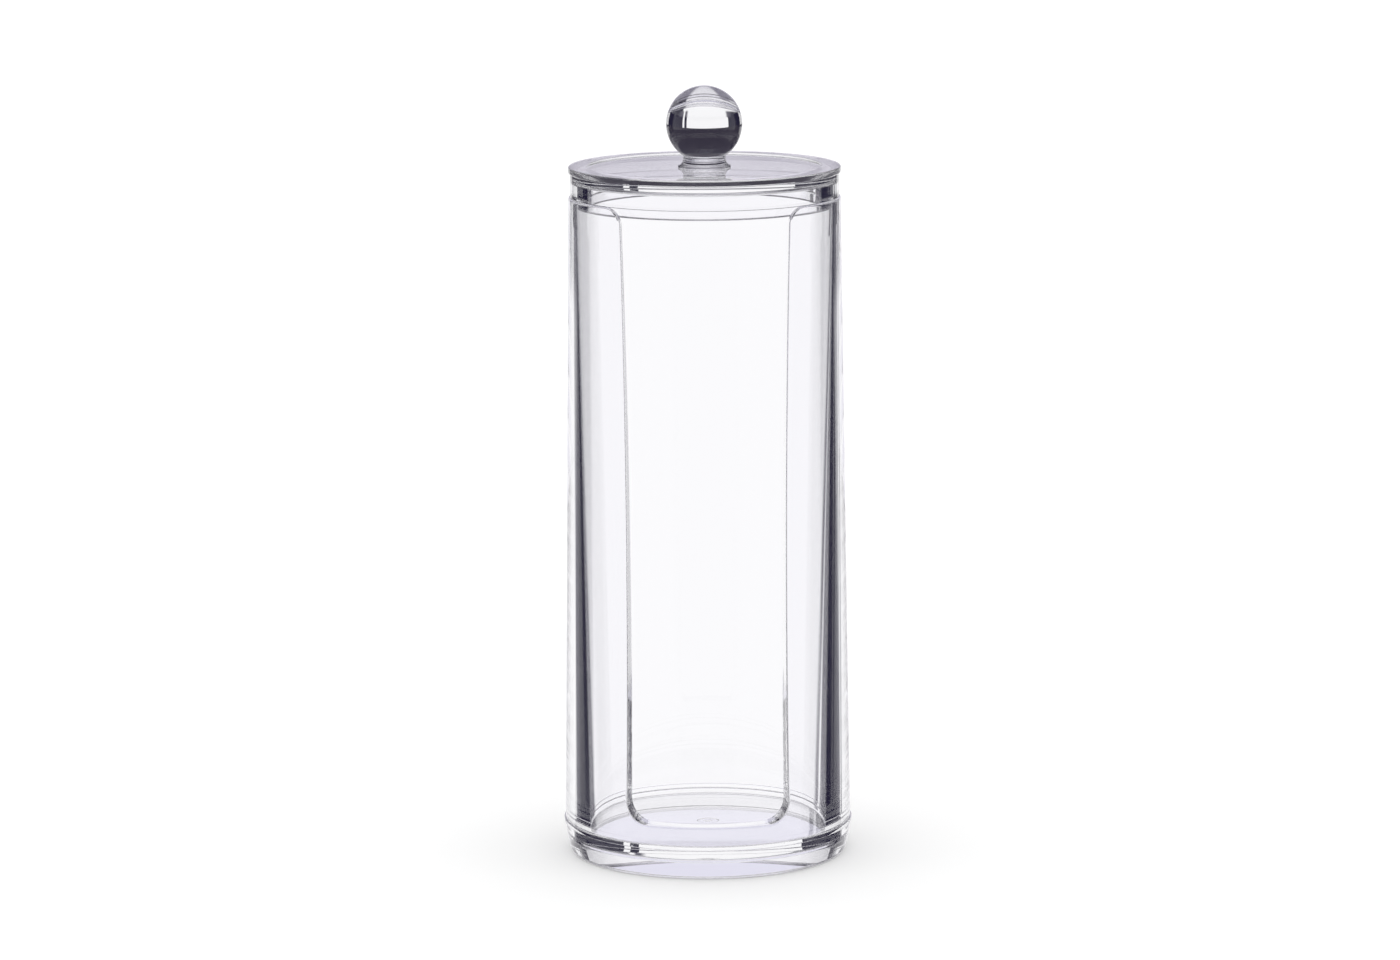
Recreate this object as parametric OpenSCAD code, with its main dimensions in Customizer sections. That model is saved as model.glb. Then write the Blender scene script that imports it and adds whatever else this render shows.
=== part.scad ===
// Cotton pad holder: a clear round canister with a tall slot down its front, a loose lid and a ball knob.
// Millimetres. The origin is the centre of the foot, on the table. +Z is up and the slot faces -Y.
// The holder is sized for a stack of round cotton pads 57 to 58 mm across.

/* [Container] */
// Height of the container at its rim
container_h = 171.6; // [120:0.2:240]
// Outside diameter at the rim
rim_d = 70; // [64:0.5:100]
// How far the wall leans out from the rim down to the lip, on each side
wall_lean = 2.2; // [0.8:0.1:3.5]
// Wall thickness at the rim
rim_wall = 1.85; // [1.4:0.05:2.6]
// Wall thickness at the floor
root_wall = 6.15; // [4.5:0.05:8]
// Thickness of the floor
floor_t = 2.95; // [1.6:0.05:4]
// Radius between the floor and the wall
floor_fillet = 0.4; // [0.2:0.1:3]

/* [Foot] */
// Height of the hollow under the floor
foot_h = 4.85; // [3.5:0.05:9]
// How far the foot stands in from the wall at the table
foot_inset = 1.45; // [0.6:0.05:2.5]
// Width of the foot ring at the table, with its rounded edge
foot_ring_w = 2.8; // [1.8:0.1:4]
// How much the hollow narrows from the table up to the floor, on each side
foot_draft = 0.35; // [0.1:0.05:1]
// Radius of the foot's outer edge
foot_edge_r = 1.4; // [0.3:0.1:1.5]
// How far the plain band above the foot stands in from the wall
band_inset = 0.25; // [0.1:0.05:0.5]
// Height of the lip that runs round the base at floor level
lip_h = 1.25; // [0.6:0.05:2.5]
// How far the lip stands out from the wall
lip_proud = 0.35; // [0.15:0.05:1]
// Diameter of the dimple under the floor, where the plastic was fed in
gate_d = 5.6; // [3:0.1:10]
// Depth of that dimple
gate_depth = 0.4; // [0.2:0.05:0.8]
// Diameter of the feed stub left in the dimple
gate_stub_d = 1.6; // [0.8:0.1:2.4]
// Length of the feed stub
gate_stub_h = 0.35; // [0.1:0.05:0.7]

/* [Slot] */
// Width of the slot where it is narrowest
slot_w = 39.8; // [28:0.1:44]
// How far each side opens out from there up to the rim
slot_opening = 1.7; // [0:0.1:3]
// Height of the sill above the floor
sill_h = 6; // [2:0.5:30]
// Height of the narrowest place above the sill
slot_waist_h = 51; // [20:1:90]
// Radius of the lower corners
slot_corner_r = 5.5; // [2:0.5:12]
// Radius of the upper corners, which round over to the rim
slot_flare_r = 4.5; // [1.5:0.5:6]
// How much the side faces open outwards, in degrees
slot_face_angle = 10; // [0:1:20]

/* [Lid] */
// Height of the lid above the container's rim
lid_h = 7.9; // [5.5:0.1:14]
// Thickness of the flange round the lid's top edge
flange_t = 1.7; // [0.8:0.1:3]
// Step in from the flange to the collar below it
collar_inset = 0.5; // [0.2:0.1:1.2]
// Depth of the plug that drops into the container
plug_depth = 2.5; // [1.2:0.1:8]
// Gap between the plug and the bore, on each side
plug_clearance = 0.4; // [0.2:0.05:0.8]
// Wall thickness of the plug
plug_wall = 2.75; // [1.5:0.05:5]
// Thickness of the lid's top plate
plate_t = 3.1; // [2.4:0.1:4.5]
// Width of the raised border round the top face
border_w = 4.9; // [2:0.1:8]
// Depth of the top face below its border
recess_depth = 0.4; // [0.2:0.1:0.8]
// Radius in the top corner of the hollow under the lid
hollow_fillet = 1; // [0.3:0.1:2]

/* [Knob] */
// Diameter of the ball
ball_d = 19.6; // [15:0.2:26]
// Diameter of the neck under the ball
neck_d = 11; // [8:0.1:13]
// Height of the neck, from the lid's top face to the ball
neck_h = 3; // [2.4:0.1:10]
// How far the foot of the neck spreads, on each side
neck_foot_w = 1.3; // [0.6:0.1:1.8]
// Thickness of the foot's outer edge
neck_foot_t = 0.5; // [0.3:0.1:0.9]
// Radius of the hollow curve between the neck and its foot
neck_curve_r = 1.8; // [1:0.1:2.2]
// Diameter of the peg that is cemented into the lid
peg_d = 5; // [3:0.1:7]
// Length of the peg
peg_l = 1.8; // [1:0.1:2.1]
// Gap round the peg, for the cement
peg_clearance = 0.05; // [0.02:0.01:0.15]
// Room for cement under the end of the peg
peg_end_room = 0.2; // [0.1:0.05:0.4]

/* [Hidden] */
$fn = 180;

// Clear plastic with a faint lavender cast
clear_plastic = [0.87, 0.86, 0.93, 0.45];

// How far a cut runs past the face that it opens
cut = 1;

// Short straight runs that make up the slow curve of each side of the slot
slot_side_steps = 12;

// Heights
floor_z = foot_h + floor_t;
lip_top_z = floor_z + lip_h;
sill_z = floor_z + sill_h;
waist_z = sill_z + slot_waist_h;

// Radii of the container
rim_r = rim_d / 2;
root_r = rim_r + wall_lean;
bore_rim_r = rim_r - rim_wall;
bore_root_r = root_r - root_wall;
bore_slope = (bore_rim_r - bore_root_r) / (container_h - floor_z);
lip_r = root_r + lip_proud;
band_r = root_r - band_inset;
foot_r = root_r - foot_inset;
foot_hollow_r = foot_r - foot_ring_w;
foot_ceiling_r = foot_hollow_r - foot_draft;

// Radii of the lid, which fits the container's rim and bore
collar_r = rim_r - collar_inset;
plug_r = bore_rim_r - plug_clearance;
hollow_r = plug_r - plug_wall;
recess_r = rim_r - border_w;
socket_r = peg_d / 2 + peg_clearance;
socket_depth = peg_l + peg_end_room;

// Heights of the lid's top face and of the hollow's ceiling, from the rim that the lid seats on
face_h = lid_h - recess_depth;
ceiling_h = face_h - plate_t;

// The slot's widths are measured where its sides meet the outside of the rim
slot_plane_y = sqrt(rim_r * rim_r - slot_w * slot_w / 4);

// Half outline of a round plug that widens upwards from r0 to r1, with its lower edge rounded
module tapered_plug(r0, r1, h, edge_r) {
    slope = (r1 - r0) / h;
    s = sqrt(1 + slope * slope);
    centre_x = r0 + slope * edge_r - edge_r * s;
    polygon([
        [0, 0], [centre_x, 0], [centre_x, edge_r],
        [centre_x + edge_r / s, edge_r - edge_r * slope / s],
        [r1, h], [0, h]
    ]);
    translate([centre_x, edge_r]) circle(edge_r);
}

// Half outline of the container's outside: foot, plain band, lip and leaning wall
module container_outside() {
    tapered_plug(foot_r, band_r, foot_h, foot_edge_r);
    polygon([
        [0, foot_h], [band_r, foot_h], [band_r, floor_z],
        [lip_r, floor_z], [lip_r, lip_top_z], [root_r, lip_top_z],
        [rim_r, container_h], [0, container_h]
    ]);
}

// Half outline of the bore, which narrows down to the floor
module container_bore() {
    translate([0, floor_z])
        tapered_plug(bore_root_r, bore_rim_r + bore_slope * cut, container_h + cut - floor_z, floor_fillet);
}

// Half outline of the hollow under the floor, with the dimple left by the feed point
module foot_hollow() {
    hollow_slope = foot_draft / foot_h;
    polygon([
        [0, -cut], [foot_hollow_r + hollow_slope * cut, -cut],
        [foot_ceiling_r, foot_h], [0, foot_h]
    ]);
    difference() {
        square([gate_d / 2, foot_h + gate_depth]);
        translate([0, foot_h + gate_depth - gate_stub_h])
            square([gate_stub_d / 2, gate_stub_h + cut]);
    }
}

// Half width of the slot at height z, seen along its slanted side face.
// It is narrowest at the waist and opens out in a slow curve to the rim.
function slot_half_w(z) =
    cos(slot_face_angle) * (slot_w / 2 + slot_opening * pow((z - waist_z) / (container_h - waist_z), 2));

// Outline of the slot from its right side across to far beyond its left side
module slot_outline() {
    corner_z = sill_z + slot_corner_r;
    flare_z = container_h - slot_flare_r;
    corner_x = slot_half_w(corner_z) - slot_corner_r;
    flare_x = slot_half_w(flare_z) + slot_flare_r;
    step = (flare_z - corner_z) / slot_side_steps;
    difference() {
        union() {
            polygon(concat(
                [[-rim_d, sill_z], [corner_x, sill_z], [corner_x, corner_z]],
                [for (i = [0 : slot_side_steps]) let (z = corner_z + i * step) [slot_half_w(z), z]],
                [[flare_x, flare_z], [flare_x, container_h + cut], [-rim_d, container_h + cut]]
            ));
            translate([corner_x, corner_z]) circle(slot_corner_r);
        }
        translate([flare_x, flare_z]) circle(slot_flare_r);
    }
}

// The outline pushed out along the right side face, from the axis to well outside the wall
module slot_side() {
    translate([0, -slot_plane_y, 0])
        rotate([0, 0, slot_face_angle])
            translate([0, slot_plane_y, 0])
                rotate([90, 0, 0])
                    linear_extrude(rim_d) slot_outline();
}

// The slot is what the right side and its mirror image share
module slot() {
    intersection() {
        slot_side();
        mirror([1, 0, 0]) slot_side();
    }
}

// The canister, moulded in one piece with its slot, lip and hollow foot
module container() {
    color(clear_plastic) difference() {
        rotate_extrude() difference() {
            container_outside();
            container_bore();
            foot_hollow();
        }
        slot();
    }
}

// Half outline of the lid, with the rim that it seats on at height 0
module lid_outline() {
    difference() {
        union() {
            translate([0, -plug_depth]) square([plug_r, plug_depth]);
            square([collar_r, lid_h - flange_t]);
            translate([0, lid_h - flange_t]) square([rim_r, flange_t]);
        }
        translate([0, face_h]) square([recess_r, recess_depth + cut]);
        translate([0, face_h - socket_depth]) square([socket_r, socket_depth + cut]);
        translate([0, ceiling_h]) mirror([0, 1])
            tapered_plug(hollow_r, hollow_r, ceiling_h + plug_depth + cut, hollow_fillet);
    }
}

// The lid, moulded in one piece: a top plate with a raised border, a collar and a plug
module lid() {
    color(clear_plastic) translate([0, 0, container_h]) rotate_extrude() lid_outline();
}

// Half outline of the knob's neck, spreading foot and peg, with the lid's top face at height 0
module neck_outline(ball_h) {
    neck_r = neck_d / 2;
    neck_foot_r = neck_r + neck_foot_w;
    curve_x = neck_r + neck_curve_r;
    curve_z = neck_foot_t + sqrt(pow(neck_curve_r, 2) - pow(curve_x - neck_foot_r, 2));
    square([neck_r, ball_h]);
    difference() {
        square([neck_foot_r, curve_z]);
        translate([curve_x, curve_z]) circle(neck_curve_r);
    }
    translate([0, -peg_l]) square([peg_d / 2, peg_l]);
}

// The ball knob, moulded solid and cemented into the lid by its peg
module knob() {
    ball_h = neck_h + sqrt(pow(ball_d / 2, 2) - pow(neck_d / 2, 2));
    color(clear_plastic) translate([0, 0, container_h + face_h]) {
        rotate_extrude() neck_outline(ball_h);
        translate([0, 0, ball_h]) sphere(d = ball_d);
    }
}

container();
lid();
knob();
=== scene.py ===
import math

import bmesh
import bpy
from mathutils import Matrix, Vector


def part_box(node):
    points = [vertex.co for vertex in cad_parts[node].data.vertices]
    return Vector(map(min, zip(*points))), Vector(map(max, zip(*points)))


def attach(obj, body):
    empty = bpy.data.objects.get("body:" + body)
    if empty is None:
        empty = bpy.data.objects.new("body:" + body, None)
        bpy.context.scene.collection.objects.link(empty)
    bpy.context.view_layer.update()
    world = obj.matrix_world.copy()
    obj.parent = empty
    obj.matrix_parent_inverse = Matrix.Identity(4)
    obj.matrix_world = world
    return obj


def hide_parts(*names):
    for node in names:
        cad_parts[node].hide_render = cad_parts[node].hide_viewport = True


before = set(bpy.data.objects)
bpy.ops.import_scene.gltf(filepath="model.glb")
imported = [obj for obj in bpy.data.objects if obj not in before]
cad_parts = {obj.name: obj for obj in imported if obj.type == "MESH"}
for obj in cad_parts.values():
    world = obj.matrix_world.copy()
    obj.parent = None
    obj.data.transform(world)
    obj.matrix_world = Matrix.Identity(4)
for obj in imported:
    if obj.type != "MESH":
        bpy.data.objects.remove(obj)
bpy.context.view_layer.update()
scene = bpy.context.scene

# Camera
# A long lens stands 1.4 m in front of the slot, higher than the knob, and looks gently down on the holder.
# It points a hair to the left and leans a third of a degree, as it did when the picture was taken.
camera_place = Vector((0, -1.3968, 0.3368))
camera_down = math.radians(9.718)
camera_left = math.radians(0.065)
camera_lean = math.radians(-0.33)

camera_data = bpy.data.cameras.new("camera")
camera_data.lens = 140.66
camera_data.sensor_width = 36
camera = bpy.data.objects.new("camera", camera_data)
scene.collection.objects.link(camera)
look = Vector((
    -math.sin(camera_left) * math.cos(camera_down),
    math.cos(camera_left) * math.cos(camera_down),
    -math.sin(camera_down),
))
turn = look.to_track_quat("-Z", "Y").to_matrix() @ Matrix.Rotation(camera_lean, 3, "Z")
camera.location = camera_place
camera.rotation_euler = turn.to_euler()
scene.camera = camera

# Canister
# One injection moulding of clear styrene: a wall that leans in from the lip to the rim and gets thinner on
# the way up, a floor, a hollow foot, and the tall slot that pads are slid out of. Sizes are in millimetres.
mm = 0.001
rim_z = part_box("container")[1].z / mm
lip_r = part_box("container")[1].x / mm
rim_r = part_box("lid")[1].x / mm
lip_proud = 0.35
lip_h = 1.25
rim_wall = 1.85
root_wall = 6.15
floor_t = 2.95
foot_inset = 1.45
band_inset = 0.25
foot_ring_w = 2.8
foot_draft = 0.35

ceiling_z = 4.85
floor_z = ceiling_z + floor_t
lip_top_z = floor_z + lip_h
root_r = lip_r - lip_proud
bore_rim_r = rim_r - rim_wall
bore_root_r = root_r - root_wall
band_r = root_r - band_inset
foot_r = root_r - foot_inset
foot_hollow_r = foot_r - foot_ring_w
foot_ceiling_r = foot_hollow_r - foot_draft

# The dimple under the floor, where the plastic was fed in, and the stub left in it
gate_r = 2.8
gate_depth = 0.4
stub_r = 0.8
stub_h = 0.35
gate_z = ceiling_z + gate_depth
stub_z = gate_z - stub_h

# Radii of the corners and edges
crisp_round = 0.15
stub_round = 0.1
ceiling_round = 0.6
foot_inner_round = 0.3
foot_outer_round = 1.4
band_round = 0.5
lip_round = 0.25
lip_root_round = 0.12
floor_round = 0.4
outer_edge_round = 0.4
inner_edge_round = 0.25

# The slot: half width where it is narrowest, how far it opens up to the rim, and its rounded corners
slot_half_w = 19.9
slot_opening = 1.7
sill_h = 6
slot_waist_h = 51
corner_r = 5.5
flare_r = 4.5
face_lean = math.radians(10)
sill_z = floor_z + sill_h
waist_z = sill_z + slot_waist_h
slot_plane_y = math.sqrt(rim_r**2 - slot_half_w**2)

# The wall's grid starts a little above the lip. Its rows go up from there, and its columns go round from the
# middle of the slot to the back.
wall_foot_z = 10.6
below_steps = 3
sill_steps = 18
corner_steps = 6
side_steps = 26
back_column = 120
blend_columns = 56
sill_row = below_steps
corner_row = sill_row + corner_steps
flare_row = corner_row + side_steps
top_row = flare_row + corner_steps
side_column = sill_steps + corner_steps


def outer_radius(z):
    """Radius of the wall's outside at a height."""
    return rim_r + (root_r - rim_r) * (rim_z - z) / (rim_z - lip_top_z)


def bore_radius(z):
    """Radius of the bore at a height."""
    return bore_root_r + (bore_rim_r - bore_root_r) * (z - floor_z) / (rim_z - floor_z)


def side_x(z):
    """Half width of the slot, seen along its leaning side face."""
    rise = (z - waist_z) / (rim_z - waist_z)
    return math.cos(face_lean) * (slot_half_w + slot_opening * rise**2)


corner_z = sill_z + corner_r
flare_z = rim_z - flare_r
corner_x = side_x(corner_z) - corner_r
flare_x = side_x(flare_z) + flare_r


def edge_angle(x, radius):
    """How far round from the front a side face at half width x meets a surface of that radius."""
    return face_lean + math.asin((x - slot_plane_y * math.sin(face_lean)) / radius)


def corner_point(share):
    """A point on the slot's lower corner, which goes from the sill at 0 to the side at 1."""
    turned = share * math.pi / 2
    return corner_x + corner_r * math.sin(turned), corner_z - corner_r * math.cos(turned)


def flare_point(share):
    """A point on the slot's upper corner, which rounds over from the side at 0 to the rim at 1."""
    turned = share * math.pi / 2
    return flare_x - flare_r * math.cos(turned), flare_z + flare_r * math.sin(turned)


def side_point(row):
    """Where the slot's side crosses a row, with the half of each corner that is next to the side."""
    if row <= corner_row:
        return corner_point(0.5 + 0.5 * (row - sill_row) / corner_steps)
    if row >= flare_row:
        return flare_point(0.5 * (row - flare_row) / corner_steps)
    z = corner_z + (flare_z - corner_z) * (row - corner_row) / side_steps
    return side_x(z), z


def top_point(column, radius_at):
    """Angle and height of the wall's top edge at a column: round the upper corner, then along the rim."""
    beyond = column - side_column - corner_steps
    if beyond <= 0:
        x, z = flare_point(1 + 0.5 * beyond / corner_steps)
        return edge_angle(x, radius_at(z)), z
    start = edge_angle(flare_x, radius_at(rim_z))
    return start + (math.pi - start) * beyond / (back_column - side_column - corner_steps), rim_z


def grid_point(column, row, radius_at):
    """Angle from the front and height of a point of the wall's grid, which is drawn round the slot."""
    if column <= sill_steps:
        angle = edge_angle(corner_x, radius_at(sill_z)) * column / sill_steps
        z = sill_z
    elif column <= side_column:
        x, z = corner_point(0.5 * (column - sill_steps) / corner_steps)
        angle = edge_angle(x, radius_at(z))
    else:
        x, z = side_point(max(row, sill_row))
        top_angle, top_z = top_point(column, radius_at)
        first_angle, first_z = top_point(side_column, radius_at)
        along = min(1, (column - side_column) / blend_columns)
        easing = 0.5 + 0.5 * math.cos(math.pi * along)
        angle = top_angle + (edge_angle(x, radius_at(z)) - first_angle) * easing
        if row > flare_row:
            z = flare_z + (top_z - flare_z) * (z - flare_z) / (first_z - flare_z)
    if column == side_column and row > sill_row:
        x, z = side_point(row)
        angle = edge_angle(x, radius_at(z))
    if row < sill_row:
        z = wall_foot_z + (z - wall_foot_z) * row / sill_row
    return angle, z


def draw_outline(bm, points):
    """Joins (radius, height, corner radius) points by straight runs and rounds the corners."""
    verts = [bm.verts.new((0, -radius, z)) for radius, z, corner in points]
    for pair in zip(verts, verts[1:]):
        bm.edges.new(pair)
    for vert, (radius, z, corner) in zip(verts, points):
        if corner:
            runs = [edge.other_vert(vert).co - vert.co for edge in vert.link_edges]
            reach = corner / math.tan(runs[0].angle(runs[1]) / 2)
            bmesh.ops.bevel(
                bm, geom=[vert], offset=reach, offset_type="OFFSET", segments=4,
                profile=0.5, affect="VERTICES", material=-1,
            )


def spin_outline(bm, steps):
    """Turns every loose edge once round the upright axis."""
    loose = [edge for edge in bm.edges if edge.is_wire]
    verts = {vert for edge in loose for vert in edge.verts}
    bmesh.ops.spin(
        bm, geom=list(verts) + loose, axis=(0, 0, 1), cent=(0, 0, 0),
        angle=2 * math.pi, steps=steps, use_merge=True,
    )
    bmesh.ops.remove_doubles(bm, verts=bm.verts, dist=1e-4)


def slotted_surface(outline, radius_at):
    """Spins one surface of the canister, leaves out the slot and draws the grid of the wall round it."""
    bm = bmesh.new()
    draw_outline(bm, outline)
    wall = max(bm.edges, key=lambda edge: edge.calc_length())
    bmesh.ops.subdivide_edges(bm, edges=[wall], cuts=top_row - 1)
    spin_outline(bm, steps=2 * back_column)
    column_angle = math.pi / back_column
    row_height = (rim_z - wall_foot_z) / top_row

    window = []
    for face in bm.faces:
        middle = face.calc_center_median()
        column = abs(math.atan2(middle.x, -middle.y)) / column_angle
        row = (middle.z - wall_foot_z) / row_height
        if column < side_column and row > sill_row:
            window.append(face)
    bmesh.ops.delete(bm, geom=window, context="FACES")

    for vert in bm.verts:
        radius = math.hypot(vert.co.x, vert.co.y)
        column = round(math.atan2(vert.co.x, -vert.co.y) / column_angle)
        row = round((vert.co.z - wall_foot_z) / row_height)
        on_wall = vert.co.z > wall_foot_z - row_height / 4
        angle, z = grid_point(abs(column), row if on_wall else sill_row, radius_at)
        if on_wall:
            radius = radius_at(z)
            vert.co.z = z
        if radius > 0:
            vert.co.x = radius * math.copysign(math.sin(angle), column)
            vert.co.y = -radius * math.cos(angle)
    surface = bpy.data.meshes.new("surface")
    bm.to_mesh(surface)
    bm.free()
    return surface


def round_edges(bm, edges, radius, segments):
    """Rounds sharp edges of a moulding."""
    bmesh.ops.bevel(
        bm, geom=edges, offset=radius, offset_type="OFFSET", segments=segments,
        profile=0.5, affect="EDGES", material=-1,
    )


def plastic_piece(name, bm, material):
    """Turns a closed shape in millimetres into a smooth object in metres."""
    bmesh.ops.recalc_face_normals(bm, faces=bm.faces)
    bmesh.ops.scale(bm, vec=(mm, mm, mm), verts=bm.verts)
    mesh = bpy.data.meshes.new(name)
    bm.to_mesh(mesh)
    bm.free()
    mesh.shade_smooth()
    mesh.materials.append(material)
    piece = bpy.data.objects.new(name, mesh)
    scene.collection.objects.link(piece)
    weighted = piece.modifiers.new("even_normals", "WEIGHTED_NORMAL")
    weighted.weight = 100
    weighted.keep_sharp = False
    return piece


def clear_plastic(name, tint, flow_scale, flow_depth, haze):
    """Clear polished plastic with the slow waves that moulding leaves and a trace of handling haze."""
    material = bpy.data.materials.new(name)
    material.use_nodes = True
    nodes = material.node_tree.nodes
    links = material.node_tree.links
    shader = nodes["Principled BSDF"]
    shader.inputs["Base Color"].default_value = (*tint, 1)
    shader.inputs["Transmission Weight"].default_value = 1
    shader.inputs["IOR"].default_value = 1.49

    place = nodes.new("ShaderNodeTexCoord")
    stretch = nodes.new("ShaderNodeMapping")
    stretch.inputs["Scale"].default_value = flow_scale
    links.new(place.outputs["Object"], stretch.inputs["Vector"])

    flow = nodes.new("ShaderNodeTexNoise")
    flow.inputs["Scale"].default_value = 1
    flow.inputs["Detail"].default_value = 1
    links.new(stretch.outputs["Vector"], flow.inputs["Vector"])
    waves = nodes.new("ShaderNodeBump")
    waves.inputs["Strength"].default_value = 1
    waves.inputs["Distance"].default_value = flow_depth
    links.new(flow.outputs["Fac"], waves.inputs["Height"])
    links.new(waves.outputs["Normal"], shader.inputs["Normal"])

    smears = nodes.new("ShaderNodeTexNoise")
    smears.inputs["Scale"].default_value = 90
    smears.inputs["Detail"].default_value = 4
    links.new(place.outputs["Object"], smears.inputs["Vector"])
    handled = nodes.new("ShaderNodeMapRange")
    handled.inputs["From Min"].default_value = 0.45
    handled.inputs["From Max"].default_value = 0.75
    handled.inputs["To Max"].default_value = haze
    links.new(smears.outputs["Fac"], handled.inputs["Value"])
    links.new(handled.outputs["Result"], shader.inputs["Roughness"])
    return material


outside_outline = [
    (0, stub_z, 0),
    (stub_r, stub_z, stub_round),
    (stub_r, gate_z, stub_round),
    (gate_r, gate_z, crisp_round),
    (gate_r, ceiling_z, crisp_round),
    (foot_ceiling_r, ceiling_z, ceiling_round),
    (foot_hollow_r, 0, foot_inner_round),
    (foot_r, 0, foot_outer_round),
    (band_r, ceiling_z, band_round),
    (band_r, floor_z, crisp_round),
    (lip_r, floor_z, lip_round),
    (lip_r, lip_top_z, lip_round),
    (root_r, lip_top_z, lip_root_round),
    (outer_radius(wall_foot_z), wall_foot_z, 0),
    (rim_r, rim_z, 0),
]
bore_outline = [
    (0, floor_z, 0),
    (bore_root_r, floor_z, floor_round),
    (bore_radius(wall_foot_z), wall_foot_z, 0),
    (bore_rim_r, rim_z, 0),
]
canister_mesh = bmesh.new()
canister_mesh.from_mesh(slotted_surface(outside_outline, outer_radius))
canister_mesh.from_mesh(slotted_surface(bore_outline, bore_radius))

# The slot and the mouth join the two surfaces, and each long edge is rounded
edge_tolerance = 0.01
mouth_edges = [edge for edge in canister_mesh.edges if edge.is_boundary]
outer_edges = [
    edge for edge in mouth_edges
    if max(vert.co.xy.length - outer_radius(vert.co.z) for vert in edge.verts) > -edge_tolerance
]
inner_edges = [edge for edge in mouth_edges if edge not in outer_edges]
bmesh.ops.bridge_loops(canister_mesh, edges=mouth_edges)
bmesh.ops.recalc_face_normals(canister_mesh, faces=canister_mesh.faces)
round_edges(canister_mesh, outer_edges, outer_edge_round, segments=4)
round_edges(canister_mesh, inner_edges, inner_edge_round, segments=3)

plastic_tint = (0.97, 0.967, 0.985)
canister_plastic = clear_plastic(
    "canister_plastic", plastic_tint, flow_scale=(22, 22, 7), flow_depth=0.00004, haze=0.03,
)
canister = plastic_piece("canister", canister_mesh, canister_plastic)
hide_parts("container")
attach(canister, "container")

# Lid
# One clear moulding that lies loose on the rim: a top plate with a raised border, a collar that sits on the
# rim, and a short plug that drops into the bore and keeps the lid from sliding off.
lid_h = 7.9
recess_depth = 0.4
plate_t = 3.1
flange_t = 1.7
border_w = 4.9
collar_inset = 0.5
plug_depth = 2.5
plug_clearance = 0.4
plug_wall = 2.75
rim_gap = 0.03
hollow_round = 1.0
plug_round = 0.3
collar_round = 0.25
flange_round = 0.3
lid_top_round = 0.4

lid_top_z = rim_z + lid_h
face_z = lid_top_z - recess_depth
hollow_top_z = face_z - plate_t
flange_z = lid_top_z - flange_t
lid_seat_z = rim_z + rim_gap
plug_end_z = rim_z - plug_depth
collar_r = rim_r - collar_inset
recess_r = rim_r - border_w
plug_r = bore_rim_r - plug_clearance
hollow_r = plug_r - plug_wall

lid_outline = [
    (0, hollow_top_z, 0),
    (hollow_r, hollow_top_z, hollow_round),
    (hollow_r, plug_end_z, plug_round),
    (plug_r, plug_end_z, plug_round),
    (plug_r, lid_seat_z, crisp_round),
    (collar_r, lid_seat_z, collar_round),
    (collar_r, flange_z, crisp_round),
    (rim_r, flange_z, flange_round),
    (rim_r, lid_top_z, lid_top_round),
    (recess_r, lid_top_z, crisp_round),
    (recess_r, face_z, crisp_round),
    (0, face_z, 0),
]
lid_mesh = bmesh.new()
draw_outline(lid_mesh, lid_outline)
spin_outline(lid_mesh, steps=256)
lid_plastic = clear_plastic(
    "lid_plastic", plastic_tint, flow_scale=(25, 25, 25), flow_depth=0.00003, haze=0.03,
)
lid = plastic_piece("lid_moulding", lid_mesh, lid_plastic)
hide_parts("lid")
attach(lid, "lid")

# Knob
# A solid clear ball on a short neck. The neck spreads into a thin round foot that stands on the lid and is
# cemented down. The ball works as a lens and shows the room upside down.
ball_r = 9.8
neck_r = 5.5
neck_h = 3.0
neck_foot_w = 1.3
neck_foot_t = 0.5
neck_foot_round = 0.12
neck_curve_r = 1.8
cement_gap = 0.02
knob_seat_z = face_z + cement_gap
ball_z = face_z + neck_h + math.sqrt(ball_r**2 - neck_r**2)
curve_y = neck_r + neck_curve_r
curve_z = face_z + neck_foot_t + math.sqrt(neck_curve_r**2 - (neck_curve_r - neck_foot_w) ** 2)

knob_mesh = bmesh.new()
ball_top = knob_mesh.verts.new((0, 0, ball_z + ball_r))
ball_sweep = math.pi - math.asin(neck_r / ball_r)
bmesh.ops.spin(
    knob_mesh, geom=[ball_top], axis=(1, 0, 0), cent=(0, 0, ball_z), angle=ball_sweep, steps=72,
)
neck_top = min(knob_mesh.verts, key=lambda vert: vert.co.z)
curve_top = knob_mesh.verts.new((0, -neck_r, curve_z))
knob_mesh.edges.new((neck_top, curve_top))
curve_sweep = math.acos((neck_curve_r - neck_foot_w) / neck_curve_r)
bmesh.ops.spin(
    knob_mesh, geom=[curve_top], axis=(-1, 0, 0), cent=(0, -curve_y, curve_z), angle=curve_sweep, steps=12,
)
curve_end = min(knob_mesh.verts, key=lambda vert: vert.co.z)
foot_edge = knob_mesh.verts.new((0, -neck_r - neck_foot_w, knob_seat_z))
foot_middle = knob_mesh.verts.new((0, 0, knob_seat_z))
knob_mesh.edges.new((curve_end, foot_edge))
knob_mesh.edges.new((foot_edge, foot_middle))
bmesh.ops.bevel(
    knob_mesh, geom=[foot_edge], offset=neck_foot_round, offset_type="OFFSET", segments=3,
    profile=0.5, affect="VERTICES", material=-1,
)
spin_outline(knob_mesh, steps=128)
knob_plastic = clear_plastic(
    "knob_plastic", plastic_tint, flow_scale=(60, 60, 60), flow_depth=0.00001, haze=0.02,
)
knob = plastic_piece("knob_ball", knob_mesh, knob_plastic)
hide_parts("knob")
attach(knob, "lid")

# Table
# A wide board covered in matt white paper, which takes the soft shadow of the holder. It glows a little for
# the camera alone, so that it looks as white as the room. The plastic shows the room's light in its place.
table_half_w = 30
paper_white = (0.9, 0.9, 0.9)
table_glow = 0.22

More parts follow.
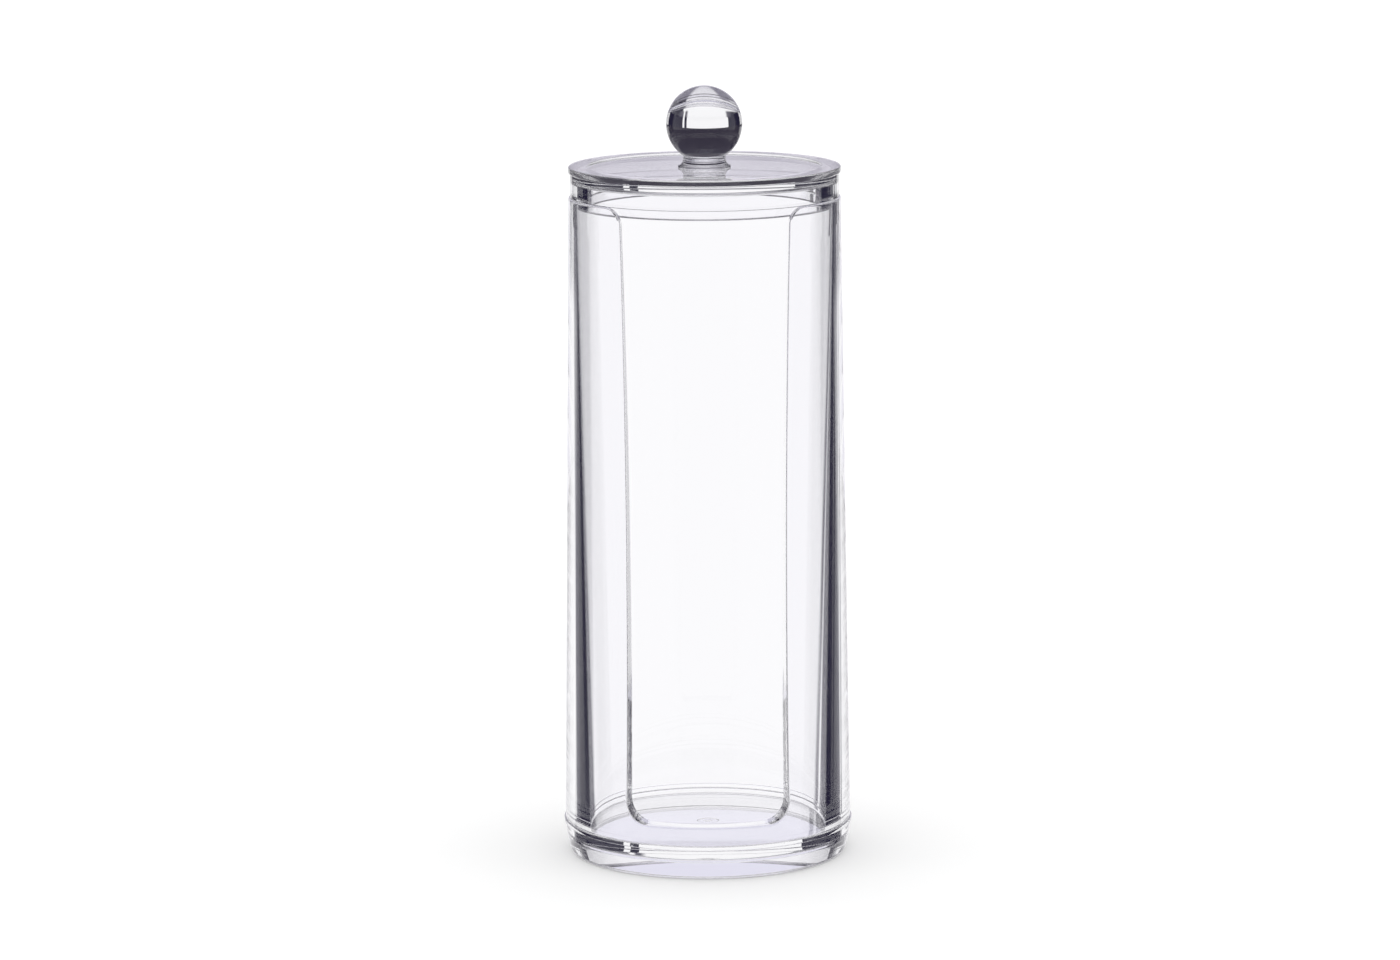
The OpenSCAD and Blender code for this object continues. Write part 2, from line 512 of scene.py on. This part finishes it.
table_mesh = bmesh.new()
bmesh.ops.create_grid(table_mesh, x_segments=1, y_segments=1, size=table_half_w)
table_data = bpy.data.meshes.new("table")
table_mesh.to_mesh(table_data)
table_mesh.free()
table = bpy.data.objects.new("table", table_data)
scene.collection.objects.link(table)
table_paper = bpy.data.materials.new("table_paper")
table_paper.use_nodes = True
table_nodes = table_paper.node_tree.nodes
table_links = table_paper.node_tree.links
table_nodes.clear()
paper = table_nodes.new("ShaderNodeBsdfDiffuse")
paper.inputs["Color"].default_value = (*paper_white, 1)
seen = table_nodes.new("ShaderNodeLightPath")
glow = table_nodes.new("ShaderNodeEmission")
glow_strength = table_nodes.new("ShaderNodeMath")
glow_strength.operation = "MULTIPLY"
glow_strength.inputs[1].default_value = table_glow
table_links.new(seen.outputs["Is Camera Ray"], glow_strength.inputs[0])
table_links.new(glow_strength.outputs["Value"], glow.inputs["Strength"])
both = table_nodes.new("ShaderNodeAddShader")
table_links.new(paper.outputs["BSDF"], both.inputs[0])
table_links.new(glow.outputs["Emission"], both.inputs[1])
table_out = table_nodes.new("ShaderNodeOutputMaterial")
table_links.new(both.outputs["Shader"], table_out.inputs["Surface"])
table_data.materials.append(table_paper)
table.visible_transmission = False
table.visible_glossy = False

# Light
# Soft white light comes from all round. Clear plastic gets its outline from what stands behind it, so white
# sheets and dark cards stand in a ring round the holder, with one sheet nearer. Glowing discs under the foot
# paint the shade of the table under the holder and a lit ring round it.
# Bearings are in degrees from straight behind the holder, and positive to the camera's left.
ring_distance = 0.6
ring_bottom = 0.06
ring_top = 0.175
white_sheets = ((-23.6, -21.2), (-18.2, 27.6), (60, 180), (-180, -60))
dark_cards = ((-60, -23.6), (-21.2, -18.2), (27.6, 60))
near_distance = 0.3
near_bottom = 0.11
near_top = 0.1827
near_sheets = ((-14.5, 22),)
shade_r = 0.0345
lit_r = 0.056
table_gap = 0.00005
card_navy = (0.018, 0.016, 0.036)
# Painted shade: the colour of the table in the holder's shadow, which the glowing disc under the foot shows
shaded_table = (0.80, 0.79, 0.90)
white = (1.0, 1.0, 1.0)


def plain_light(name, colour):
    """A material that gives off one plain colour."""
    material = bpy.data.materials.new(name)
    material.use_nodes = True
    nodes = material.node_tree.nodes
    nodes.clear()
    glow = nodes.new("ShaderNodeEmission")
    glow.inputs["Color"].default_value = (*colour, 1)
    out = nodes.new("ShaderNodeOutputMaterial")
    material.node_tree.links.new(glow.outputs["Emission"], out.inputs["Surface"])
    return material


def seen_through_plastic(name, bm, colour):
    """Puts a plain coloured shape on the stage that shows only through the clear plastic."""
    data = bpy.data.meshes.new(name)
    bm.to_mesh(data)
    bm.free()
    data.materials.append(plain_light(name, colour))
    backdrop = bpy.data.objects.new(name, data)
    scene.collection.objects.link(backdrop)
    backdrop.visible_camera = False
    backdrop.visible_diffuse = False
    backdrop.visible_glossy = False
    backdrop.visible_shadow = False
    backdrop.location.z = -table_gap


def stand_in_ring(bm, spans, distance, bottom, top):
    """Stands upright sheets in a ring, each from one bearing to another."""
    for start, end in spans:
        foot = bm.verts.new((0, distance, bottom))
        head = bm.verts.new((0, distance, top))
        side = bm.edges.new((foot, head))
        bmesh.ops.rotate(bm, verts=[foot, head], matrix=Matrix.Rotation(math.radians(start), 3, "Z"))
        bmesh.ops.spin(
            bm, geom=[foot, head, side], axis=(0, 0, 1), cent=(0, 0, 0),
            angle=math.radians(end - start), steps=16,
        )


sheet_mesh = bmesh.new()
stand_in_ring(sheet_mesh, white_sheets, ring_distance, ring_bottom, ring_top)
stand_in_ring(sheet_mesh, near_sheets, near_distance, near_bottom, near_top)
seen_through_plastic("white_sheets", sheet_mesh, white)
card_mesh = bmesh.new()
stand_in_ring(card_mesh, dark_cards, ring_distance, ring_bottom, ring_top)
seen_through_plastic("dark_cards", card_mesh, card_navy)
# Two glowing discs under the foot: painted shade of the table under the holder, and a painted lit ring round
# it
shade_mesh = bmesh.new()
bmesh.ops.create_circle(shade_mesh, cap_ends=True, segments=96, radius=shade_r)
seen_through_plastic("table_shade", shade_mesh, shaded_table)
lit_mesh = bmesh.new()
for circle_r in (shade_r, lit_r):
    bmesh.ops.create_circle(lit_mesh, cap_ends=False, segments=96, radius=circle_r)
bmesh.ops.bridge_loops(lit_mesh, edges=lit_mesh.edges)
seen_through_plastic("table_lit", lit_mesh, white)

# Colours of the room beyond the sheets and cards, as the plastic shows them
room_dark = (0.030, 0.026, 0.042)
lamp_glow = (0.80, 0.79, 0.84)
# Painted shade of the table near the holder, for rays that look steeply down
painted_table_shade = (0.27, 0.26, 0.31)
card_edge = (0.115, 0.11, 0.14)
lid_mirrored = (0.70, 0.67, 0.78)
side_mirrored = (0.96, 0.955, 0.975)
camera_side_pale = (0.85, 0.84, 0.88)

# Bearings of what is seen through the plastic: where each band starts, is full, is last full and ends
behind_band = (-62, -58, 58, 62)
edge_band = (-34, -26, 30, 38)
strip_band = (-24.5, -23.2, -22.4, -21)
middle_band = (-20, -17.2, 24.5, 28.5)
lying_card_band = (-68, -64, -27, -24)
near_table_band = (-30, -20, 20, 30)

# Bearings of what the plastic mirrors
upper_window_band = (-24, -19, 19, 24)
lower_window_band = (-45, -41, 41, 45)
mirrored_band = (-76, -66, 66, 76)

# Heights in degrees above the level, at which one part of the room gives way to the next
near_table_end = (-38, -34)
table_end = (-21, -18)
sheets_end = (-1.8, -1.0)
lamp_start = (40, 65)
camera_side_foot = (-13.6, -12.6)
lower_window_end = (-7.6, -7.0)
lid_level = (-2, 2)
mirrored_end = (12, 18)

world = bpy.data.worlds.new("studio")
scene.world = world
world.use_nodes = True
world_nodes = world.node_tree.nodes
world_links = world.node_tree.links
world_nodes.clear()


def world_math(operation, *values):
    """A Math node of that operation, fed by sockets or plain numbers."""
    node = world_nodes.new("ShaderNodeMath")
    node.operation = operation
    for socket, value in zip(node.inputs, values):
        if isinstance(value, (int, float)):
            socket.default_value = value
        else:
            world_links.new(value, socket)
    return node.outputs["Value"]


def soft_step(value, start, end):
    """0 before start and 1 after end, with a smooth rise between them."""
    node = world_nodes.new("ShaderNodeMapRange")
    node.interpolation_type = "SMOOTHSTEP"
    node.inputs["From Min"].default_value = start
    node.inputs["From Max"].default_value = end
    world_links.new(value, node.inputs["Value"])
    return node.outputs["Result"]


def world_mix(share, low, high):
    """Mixes two colours, given as sockets or as plain colours."""
    node = world_nodes.new("ShaderNodeMix")
    node.data_type = "RGBA"
    world_links.new(share, node.inputs["Factor"])
    for name, value in (("A", low), ("B", high)):
        socket = next(each for each in node.inputs if each.name == name and each.type == "RGBA")
        if isinstance(value, tuple):
            socket.default_value = (*value, 1)
        else:
            world_links.new(value, socket)
    return next(each for each in node.outputs if each.type == "RGBA")


ray = world_nodes.new("ShaderNodeLightPath")
way = world_nodes.new("ShaderNodeTexCoord")
parts = world_nodes.new("ShaderNodeSeparateXYZ")
world_links.new(way.outputs["Generated"], parts.inputs["Vector"])
left_part = world_math("MULTIPLY", parts.outputs["X"], -1)
bearing = world_math("DEGREES", world_math("ARCTAN2", left_part, parts.outputs["Y"]))
height = world_math("DEGREES", world_math("ARCSINE", parts.outputs["Z"]))


def bearing_band(start, full, last_full, end):
    """1 from full to last_full and 0 outside start and end, with soft edges."""
    rise = soft_step(bearing, start, full)
    fall = soft_step(bearing, end, last_full)
    return world_math("MULTIPLY", rise, fall)


# What refracted rays see: the table, grey with painted shade near the holder, then the sheets and cards, then
# the dark room with its lamp overhead
sheets = world_mix(bearing_band(*edge_band), card_navy, card_edge)
sheets = world_mix(bearing_band(*strip_band), sheets, white)
sheets = world_mix(bearing_band(*middle_band), sheets, white)
sheets = world_mix(bearing_band(*behind_band), white, sheets)
far_table = world_mix(bearing_band(*lying_card_band), white, card_navy)
near_table = world_mix(bearing_band(*near_table_band), painted_table_shade, white)
below = world_mix(soft_step(height, *near_table_end), near_table, far_table)
below = world_mix(soft_step(height, *table_end), below, sheets)
overhead = world_mix(soft_step(height, *lamp_start), room_dark, lamp_glow)
refracted = world_mix(soft_step(height, *sheets_end), below, overhead)

# What mirrored rays see: a light window between dark cards, wider low down, the pale side where the camera
# stands with painted table shade below it, and the dark room above
mirrored = world_mix(soft_step(height, *lid_level), side_mirrored, lid_mirrored)
upper_mirrored = world_mix(bearing_band(*upper_window_band), card_navy, mirrored)
lower_mirrored = world_mix(bearing_band(*lower_window_band), card_navy, mirrored)
mirrored = world_mix(soft_step(height, *lower_window_end), lower_mirrored, upper_mirrored)
camera_side = world_mix(soft_step(height, *camera_side_foot), painted_table_shade, camera_side_pale)
mirrored = world_mix(bearing_band(*mirrored_band), camera_side, mirrored)
mirrored = world_mix(soft_step(height, *mirrored_end), mirrored, overhead)

# Rays through or off the plastic see those two. The camera sees plain white, and so does what isn't plastic.
by_plastic = world_mix(ray.outputs["Is Transmission Ray"], mirrored, refracted)
from_plastic = world_math("MAXIMUM", ray.outputs["Is Transmission Ray"], ray.outputs["Is Glossy Ray"])
all_round = world_mix(from_plastic, white, by_plastic)
light = world_nodes.new("ShaderNodeBackground")
world_links.new(all_round, light.inputs["Color"])
world_out = world_nodes.new("ShaderNodeOutputWorld")
world_links.new(light.outputs["Background"], world_out.inputs["Surface"])

# Light turns back many times inside thick plastic before it comes out
plastic_bounces = 64
scene.cycles.max_bounces = plastic_bounces
scene.cycles.transmission_bounces = plastic_bounces
scene.cycles.glossy_bounces = plastic_bounces
scene.view_settings.view_transform = "Standard"
